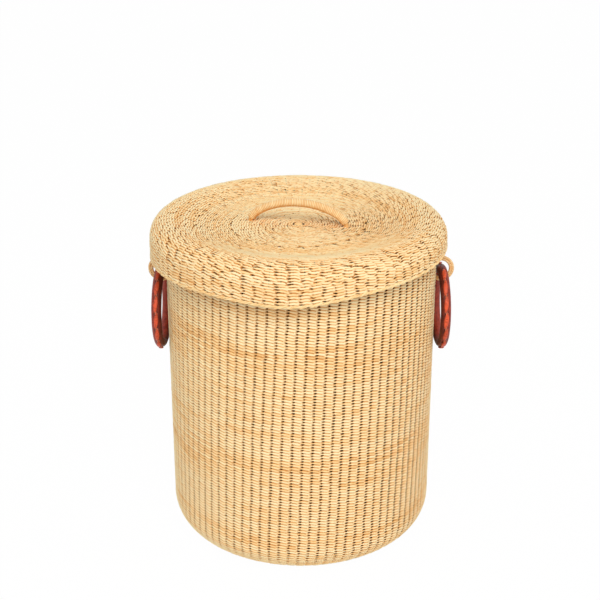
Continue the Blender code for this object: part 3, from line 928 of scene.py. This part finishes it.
class BASKET_OT_lid(bpy.types.Operator):
    """Weave the lid's top, rounded edge and skirt, with their stakes and the rolled border"""

    bl_idname = "basket.lid"
    bl_label = "Weave the lid"

    def execute(self, context):
        look = context.scene.basket_weave
        finish = weave_finish()
        shell = Shell(lid_profile, -1, lid_drift, column, lid_x)
        parts = [
            ("lid_inner_rows", FIRST_ROW, EYE_RING, 3.8 * MM, 0.5, "lid_top_weave"),
            ("lid_middle_rows", EYE_RING, 150 * MM, 3.1 * MM, 0.45, "lid_top_weave"),
            ("lid_edge_rows", 150 * MM, lid_bend, 3.7 * MM, 0.5, "lid_top_weave"),
            ("lid_skirt_rows", lid_bend, lid_length, look.row, 0.75, "lid_skirt_weave"),
        ]
        for number, (name, start, stop, pitch, flat, node) in enumerate(parts):
            batches = weave_batches(*spaced(start, stop, pitch), shell, SEED + 100 + 10 * number, flat)
            if number == 0:
                batches.append(button(lid_profile(np.array(0.0))[1], 1, lid_x))
            make_piece(name, batches, "lid", finish, [node])
        nodes = ["lid_top_weave", "lid_skirt_weave"]
        stakes_piece("lid_stakes", shell, lid_length, "lid", nodes, SEED + 5)
        batch = rope(lid_bead_ring, lid_bead_z, skirt_slope, 1, lid_x, LID_ROPE, 3, 66, SEED + 6)
        make_piece("lid_rope", [batch], "lid", finish, ["lid_border"])
        return {"FINISHED"}


# Wound and stitched handles


def wound(path, outward, radius, turns, ridge, sides, closed, seed):
    """A tube wound closely with straw, with painted shade on its underside and in the grooves between turns.

    The radius grows by ridge * sqrt(|cos(pi * w)|), where w is turns * s + a / (2 pi) at the share s of
    the path and side angle a, so the ridges run round as one screw.
    """
    dice = np.random.default_rng(seed)
    stations = path.shape[1]
    share = np.arange(stations) / (stations if closed else stations - 1)
    screw = turns * share[:, None] + full_turn(sides) / (2 * pi)
    crest = np.abs(np.cos(pi * screw))[None]
    half = radius + ridge * (np.sqrt(crest) - 1)
    tones = dice.beta(2.0, 2.0, turns + 3)
    tint = 0.45 + 0.35 * tones[np.floor(screw + 0.5).astype(int) % (turns if closed else turns + 3)]
    # deep paints shade into the grooves between turns
    batch = tube(path, outward, half, half, sides, closed, tint=tint[None], deep=0.75 * (1 - crest))
    rise = batch["points"][..., 2] - path[:, :, None, 2]
    # Painted shade: the underside is darker
    batch["values"]["tint"] = batch["values"]["tint"] - 0.6 * ease(-rise / radius, 0.1, 0.9)
    across = np.broadcast_to(4.4 * ridge * turns * share[:, None], rise.shape)
    along = np.broadcast_to(2 * pi * radius * screw[None], rise.shape)
    batch["values"]["grain"] = np.stack([across, 0 * rise, along], axis=-1)
    return batch


def handle_points(points):
    """Points of the handle's own frame put on the lid: turned about the upright axis and moved."""
    return turned(points, HANDLE_TURN) + np.array([lid_x, 0, lid_top]) + HANDLE_PLACE


def arch(count):
    """The handle's middle line: x = -span/2 cos(a), height = rise * sin(a) ** roundness, evenly spaced."""
    fine = np.linspace(0, pi, 2000)
    across = -HANDLE_SPAN / 2 * np.cos(fine)
    line = np.stack([across, 0 * fine, HANDLE_RISE * np.sin(fine) ** HANDLE_ROUNDNESS], axis=1)
    steps = np.linalg.norm(np.diff(line, axis=0), axis=1)
    run = np.concatenate([[0], np.cumsum(steps)])
    wanted = np.linspace(0, run[-1], count)
    return np.stack([np.interp(wanted, run, line[:, axis]) for axis in range(3)], axis=1)


class BASKET_OT_lid_handle(bpy.types.Operator):
    """Wind the lid's arched handle with straw, and tie its two feet under the lid"""

    bl_idname = "basket.lid_handle"
    bl_label = "Wind the lid's handle"

    def execute(self, context):
        look = context.scene.basket_handle
        across = turned(np.array([0.0, -1.0, 0.0]), HANDLE_TURN)
        line = arch(look.turns * 7)
        path = handle_points(line[line[:, 2] > HANDLE_THICK * 0.55])[None]
        batch = wound(path, across, HANDLE_THICK, look.turns, look.ridge, 20, False, SEED + 20)
        make_piece("handle_winding", [batch], "lid", winding_finish(), ["lid_handle_wrap"])
        leg = WEAVE + KNOT_HEIGHT + KNOT_TAIL
        feet = [np.array([[sign * HANDLE_SPAN / 2, 0, -leg]]) for sign in (-1, 1)]
        core = handle_points(np.concatenate([feet[0], arch(60), feet[1]]))[None]
        batch = tube(core, across, HANDLE_CORE, HANDLE_CORE, 12, False, tint=0.35, deep=0.3)
        make_piece("handle_core", [batch], "lid", winding_finish(), ["lid_handle_core"])
        share = np.linspace(-0.97, 0.97, 33)
        depth = WEAVE + KNOT_HEIGHT / 2 * (1 - share)
        knot = KNOT_RADIUS * np.sqrt(1 - share**2)[None, :, None]
        for side, sign in SIDES.items():
            foot = np.stack([0 * share + sign * HANDLE_SPAN / 2, 0 * share, -depth], axis=1)
            batch = wound(handle_points(foot)[None], across, knot, 5, 0.8 * MM, 16, False, SEED + 21)
            node = "lid_handle_knot_" + side
            make_piece("handle_knot_" + side, [batch], "lid", weave_finish(), [node])
        return {"FINISHED"}


def spokes(angle):
    """Directions from the middle of an upright ring to its points at these angles from its top."""
    return np.stack([0 * angle, np.sin(angle), np.cos(angle)], axis=-1)


class BASKET_OT_side_loops(bpy.types.Operator):
    """Wind the two side loops, each of two cords side by side, through the wall under the lid"""

    bl_idname = "basket.side_loops"
    bl_label = "Wind the side loops"

    def execute(self, context):
        look = context.scene.basket_handle
        away = turned(spokes(full_turn(look.loop_turns * 7)), -pi / 2)[None]
        thick = LOOP_THICK * 0.56
        ridge = look.ridge * 0.8
        for side, sign in SIDES.items():
            cords = []
            for number, step in enumerate((-1, 1)):
                radius = LOOP_RADIUS + step * LOOP_THICK * 0.46
                path = np.array([sign * LOOP_OUT, 0, LOOP_HEIGHT]) + radius * away
                cords.append(wound(path, away, thick, look.loop_turns, ridge, 12, True, SEED + 30 + number))
            nodes = ["loop_core_" + side, "loop_wrap_" + side]
            make_piece("side_loop_" + side, cords, "basket", winding_finish(), nodes)
        return {"FINISHED"}


def ring_points(side, points):
    """Points of a ring's own frame, x outwards and z up from its middle, put where it hangs."""
    return turned(points, SIDES[side] * RING_YAW) + hang[side + "_ring"] - np.array([0, 0, RING_RADIUS])


def sleeve_batch(side, stitches):
    """The leather sleeve: a ring's tube, drawn in a little at every stitch and along its seam.

    With a round the ring from its top and b round the tube from the seam, which lies outermost, the
    radius is the sleeve's, less a groove exp(-(b / 0.45)^2) along the seam, and less a pucker
    (1 - cos(n a)) / 2 that fades with b. The groove, the puckers and the side towards the wall are
    darker: painted shade.
    """
    sides = 28
    angle = full_turn(stitches * 10)
    around = full_turn(sides)
    around = np.where(around > pi, around - 2 * pi, around)
    away = spokes(angle)
    pucker = (1 - np.cos(stitches * angle))[:, None] / 2 * np.exp(-(around / 0.9) ** 2)
    lumps = 0.2 * np.sin(5 * angle + 1)[:, None] * np.cos(2 * around)
    lumps = lumps + 0.15 * np.sin(11 * angle)[:, None] * np.sin(around)
    groove = np.exp(-((around / 0.45) ** 2))
    half = SLEEVE - MM * (0.55 * groove + 0.45 * pucker + 0.15 * lumps)
    # Painted shade on the side that faces the wall, and in the seam's groove and the puckers
    hidden = ease(SIDES[side] * np.sin(around), 0.2, 0.9)
    deep = np.clip(0.6 * groove + 0.3 * pucker + 0.7 * hidden, 0, 1)[None]
    path = ring_points(side, RING_RADIUS * away)[None]
    outward = turned(away, SIDES[side] * RING_YAW)
    return tube(path, outward, half[None], half[None], sides, True, tint=0.22, deep=deep, raw=0.0)


def stitch_batch(side, stitches, width, thick):
    """The stitches over the seam: a chain of leaf shapes, each a little turned, pointed where it dives.

    With u along a stitch from 0 to 1, its half width is the full one times sin(pi u) ** 0.7, its rise is
    thick times sin(pi u) ** 0.5, and its middle crosses the seam from one side to the other.
    """
    dice = np.random.default_rng(SEED + (40 if side == "left" else 41))
    sides = 10
    span = 2 * pi - 2 * SEAM_START
    u = np.linspace(0, 1, 13)
    angle = SEAM_START + span * (np.arange(stitches)[:, None] + 0.5 + (u - 0.5) * 1.12) / stitches
    bow = np.clip(np.sin(pi * u), 0, 1)
    tilt = (1.1 * MM * (2 * u - 1) + dice.uniform(-0.25, 0.25, (stitches, 1)) * MM) / SLEEVE
    away = spokes(angle)
    out = away * np.cos(tilt)[..., None] + np.array([1.0, 0.0, 0.0]) * np.sin(tilt)[..., None]
    seat = SLEEVE - 0.5 * MM + 0.5 * thick * bow**0.5
    path = ring_points(side, RING_RADIUS * away + out * seat[..., None])
    full_width = width / 2 * dice.uniform(0.92, 1.06, (stitches, 1))
    half_width = (0.35 * MM + full_width * bow**0.7)[..., None]
    half_thick = (0.3 * MM + 0.7 * thick * bow**0.5)[..., None]
    edge = np.abs(np.sin(full_turn(sides))) > 0.9
    bow = bow[None, :, None]
    raw = 0.8 * (edge & (bow < 0.3))
    tint = dice.uniform(0.75, 1.0, (stitches, 1, 1))
    # Painted shade where a stitch dives into the sleeve and along its sides
    deep = 0.5 * (1 - bow) ** 2 + 0.55 * (edge & (bow >= 0.3))
    outward = turned(out, SIDES[side] * RING_YAW)
    return tube(path, outward, half_thick, half_width, sides, False, tint=tint, deep=deep, raw=raw)


class BASKET_OT_ring_handles(bpy.types.Operator):
    """Sew the two ring handles: a grass core, its leather sleeve and the stitches along the seam"""

    bl_idname = "basket.ring_handles"
    bl_label = "Sew the ring handles"

    def execute(self, context):
        look = context.scene.basket_rings
        away = spokes(full_turn(72))
        for side in SIDES:
            sleeve = sleeve_batch(side, look.stitches)
            stitches = stitch_batch(side, look.stitches, look.stitch_width, look.stitch_thick)
            path = ring_points(side, RING_RADIUS * away)[None]
            outward = turned(away, SIDES[side] * RING_YAW)
            core = tube(path, outward, RING_CORE, RING_CORE, 12, True, tint=0.4, deep=0.3)
            pieces = [
                ("ring_sleeve_", sleeve, "red_leather", leather_finish(), "ring_leather_"),
                ("ring_stitches_", stitches, "red_leather", leather_finish(), "ring_lacing_"),
                ("ring_grass_", core, "pale_straw", weave_finish(), "ring_core_"),
            ]
            for name, batch, slot, finish, node in pieces:
                make_piece(name + side, [batch], side + "_ring", finish, [node + side])
        return {"FINISHED"}


# The studio

CAMERA_SHIFT = -0.00195
LAMP_TARGET = np.array([0, 0, 0.28])
FLOOR_REACH = 6.0

# Each lamp: its setting, how much of it the lamp gives, how wide it is and where it hangs

LAMPS = {
    "key_lamp": ("key", 1.0, 1.8, (0.35, -2.38, 2.92)),
    "left_lamp": ("fill", 0.85, 1.4, (-2.6, -0.9, 1.2)),
    "right_lamp": ("fill", 0.6, 1.4, (2.6, -0.9, 1.2)),
}


class BASKET_OT_stage(bpy.types.Operator):
    """Set the floor, the room's light, the lamps and the camera"""

    bl_idname = "basket.stage"
    bl_label = "Set the stage"

    def execute(self, context):
        look = context.scene.basket_stage
        scene = context.scene
        scene.view_settings.view_transform = "Standard"
        room = bpy.data.worlds.new("room")
        scene.world = room
        recipe = Recipe(room)
        seen = self.seen_directly(recipe)
        lit = recipe.node("ShaderNodeBackground", {}, {"Color": (1, 1, 1), "Strength": look.sky})
        white = recipe.node("ShaderNodeBackground", {}, {"Color": (1, 1, 1), "Strength": 1.0})
        shader = recipe.node("ShaderNodeMixShader", {}, {0: seen, 1: lit, 2: white})
        recipe.finished(shader, "ShaderNodeOutputWorld")
        self.floor(look)
        for name, (setting, share, size, place) in LAMPS.items():
            self.lamp(name, share * getattr(look, setting), size, place)
        lens = bpy.data.cameras.new("photo_camera")
        lens.lens = look.lens
        lens.shift_x = CAMERA_SHIFT
        lens.clip_start = 0.05
        lens.clip_end = 30
        camera = bpy.data.objects.new("photo_camera", lens)
        camera.location = (0, -look.distance, look.height)
        camera.rotation_euler = (pi / 2 - look.tilt, 0, 0)
        scene.collection.objects.link(camera)
        scene.camera = camera
        return {"FINISHED"}

    def seen_directly(self, recipe):
        """1 on camera, glossy and transmission rays, which see a white background."""
        names = ("Is Camera Ray", "Is Glossy Ray", "Is Transmission Ray")
        rays = [recipe.node("ShaderNodeLightPath", {}, {}, name) for name in names]
        return recipe.limited(rays[0] + rays[1] + rays[2])

    def floor(self, look):
        """A wide pale floor that keeps the basket's shadow but is near white to the camera."""
        recipe = Recipe(bpy.data.materials.new("pale_floor"))
        seen = self.seen_directly(recipe)
        plain = recipe.node("ShaderNodeBsdfDiffuse", {}, {"Color": look.floor})
        bright = recipe.node("ShaderNodeEmission", {}, {"Color": (1, 1, 1), "Strength": 1.0})
        shader = recipe.node("ShaderNodeMixShader", {}, {0: seen * 0.985, 1: plain, 2: bright})
        recipe.finished(shader)
        mesh = bpy.data.meshes.new("floor")
        corners = [(x * FLOOR_REACH, y * FLOOR_REACH, 0) for x, y in ((-1, -1), (1, -1), (1, 1), (-1, 1))]
        mesh.from_pydata(corners, [], [(0, 1, 2, 3)])
        mesh.materials.append(recipe.owner)
        floor = bpy.data.objects.new("floor", mesh)
        bpy.context.scene.collection.objects.link(floor)

    def lamp(self, name, watts, size, place):
        """A square soft lamp that faces the basket."""
        light = bpy.data.lights.new(name, "AREA")
        light.energy = watts
        light.size = size
        lamp = bpy.data.objects.new(name, light)
        lamp.location = place
        towards = LAMP_TARGET - np.array(place)
        lamp.rotation_mode = "QUATERNION"
        lamp.rotation_quaternion = Vector(towards).to_track_quat("-Z", "Y")
        bpy.context.scene.collection.objects.link(lamp)


class BASKET_PT_panel(bpy.types.Panel):
    """Lists the basket's pieces in the order in which they are made"""

    bl_idname = "BASKET_PT_panel"
    bl_label = "Laundry basket"
    bl_space_type = "VIEW_3D"
    bl_region_type = "UI"
    bl_category = "Basket"

    def draw(self, context):
        layout = self.layout
        for group in ("basket_weave", "basket_handle", "basket_rings", "basket_stage"):
            box = layout.box()
            settings = getattr(context.scene, group)
            for key in settings.__annotations__:
                box.prop(settings, key)
        for operator in OPERATORS:
            layout.operator(operator.bl_idname)


SETTINGS = {
    "basket_weave": WeaveSettings,
    "basket_handle": HandleSettings,
    "basket_rings": RingSettings,
    "basket_stage": StageSettings,
}
OPERATORS = (
    BASKET_OT_stage,
    BASKET_OT_wall,
    BASKET_OT_rim,
    BASKET_OT_lid,
    BASKET_OT_lid_handle,
    BASKET_OT_side_loops,
    BASKET_OT_ring_handles,
)


def register():
    """Makes the settings, the operators and the panel known."""
    for name, settings in SETTINGS.items():
        bpy.utils.register_class(settings)
        setattr(bpy.types.Scene, name, PointerProperty(type=settings))
    for operator in OPERATORS:
        bpy.utils.register_class(operator)
    bpy.utils.register_class(BASKET_PT_panel)


def unregister():
    """Takes the settings, the operators and the panel away again."""
    bpy.utils.unregister_class(BASKET_PT_panel)
    for operator in reversed(OPERATORS):
        bpy.utils.unregister_class(operator)
    for name, settings in SETTINGS.items():
        delattr(bpy.types.Scene, name)
        bpy.utils.unregister_class(settings)


def main():
    """Makes every piece and the stage."""
    register()
    bpy.ops.basket.stage()
    bpy.ops.basket.wall()
    bpy.ops.basket.rim()
    bpy.ops.basket.lid()
    bpy.ops.basket.lid_handle()
    bpy.ops.basket.side_loops()
    bpy.ops.basket.ring_handles()


if __name__ == "__main__":
    main()
